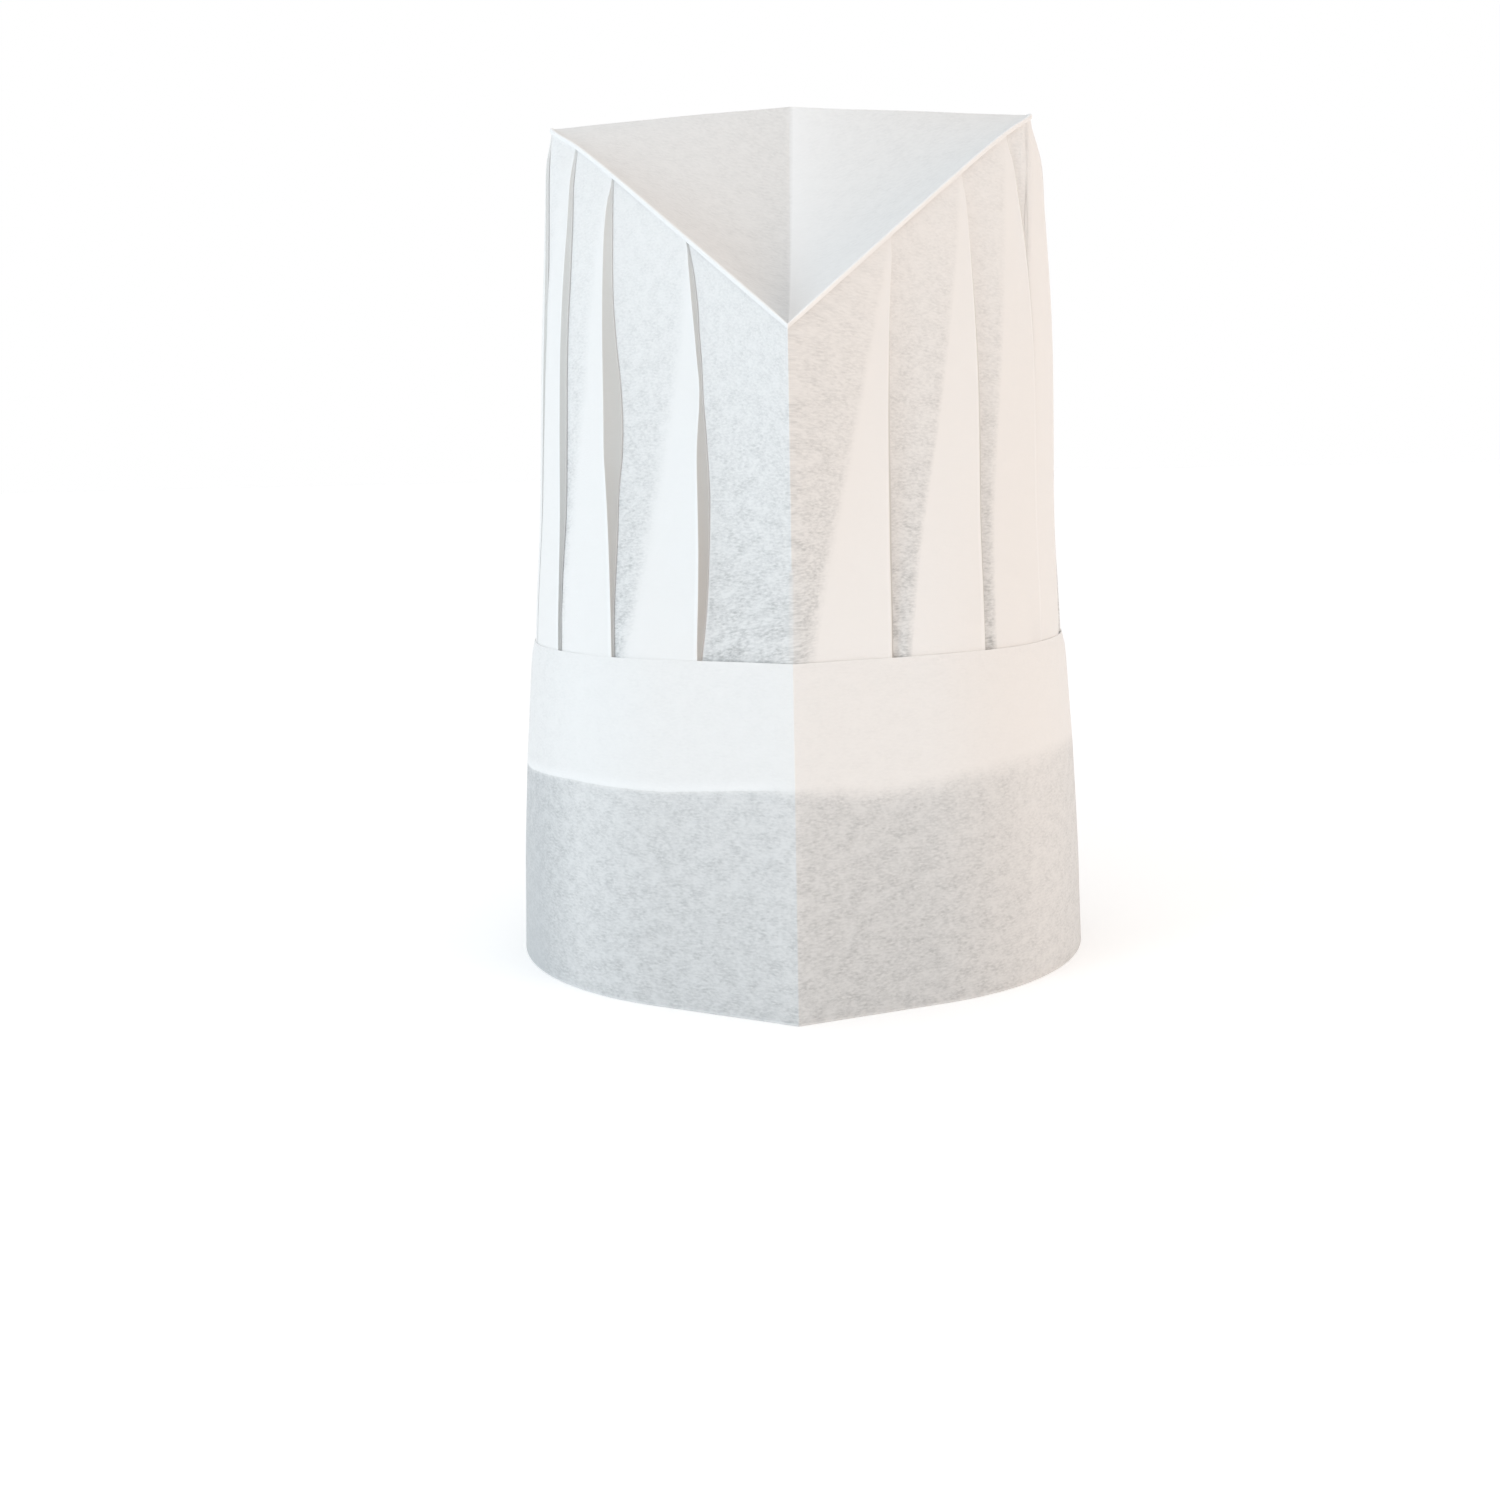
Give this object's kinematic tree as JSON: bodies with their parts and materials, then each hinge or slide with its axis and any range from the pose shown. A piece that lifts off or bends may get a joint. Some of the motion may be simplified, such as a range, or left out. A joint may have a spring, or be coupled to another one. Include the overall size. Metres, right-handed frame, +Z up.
{
  "type": "disposable chef hat",
  "caption": "Tall pleated cap of thin white non-woven cloth with a turned-up band and a closed top folded in at the front and back, hollow and open below for the head.",
  "frame": {"origin": "middle of the band's bottom edge, at the level that the hat rests on", "axes": "+Z up through the top, -Y towards the front crease, +X to the right as seen from the front"},
  "size_m": [0.185, 0.196, 0.268],
  "materials": {
    "band_cloth": "matt white viscose non-woven, doubled, faint mottling and fine fibres that run round the hat",
    "crown_cloth": "matt white viscose non-woven, slightly see-through, whiter where the pleats lie three deep",
    "top_cloth": "matt white viscose non-woven, single layer, smooth"
  },
  "bodies": {
    "root": {"band": "band_cloth", "crown": "crown_cloth", "top_panel": "top_cloth"}
  },
  "joints": []
}
